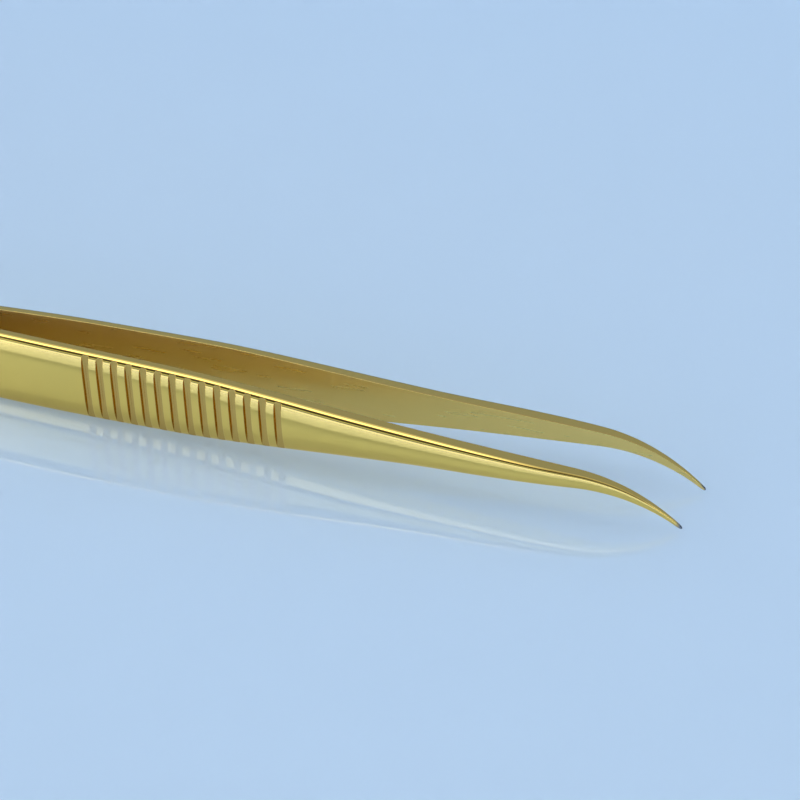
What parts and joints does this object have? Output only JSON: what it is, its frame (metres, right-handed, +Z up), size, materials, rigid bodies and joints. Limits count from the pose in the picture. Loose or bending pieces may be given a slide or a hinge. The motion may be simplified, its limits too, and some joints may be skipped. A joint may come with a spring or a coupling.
{
  "type": "lash isolation tweezers",
  "caption": "Slim spring tweezers with fluted grips and long tapering tips that curve down, for isolating single lashes or handling small parts.",
  "frame": {"origin": "on the bench under the middle of the tweezers, which lie on the lower edges of both arms", "axes": "+X runs from the welded heel to the tips, Y runs across the opening with the left arm on +Y, +Z is up from the bench and the tips curve down towards it"},
  "size_m": [0.137, 0.0122, 0.0093],
  "materials": {
    "gold_coated_steel": "polished stainless steel with a thin gold-coloured vacuum coating"
  },
  "bodies": {
    "root": {"left_arm": "gold_coated_steel", "right_arm": "gold_coated_steel"}
  },
  "joints": []
}
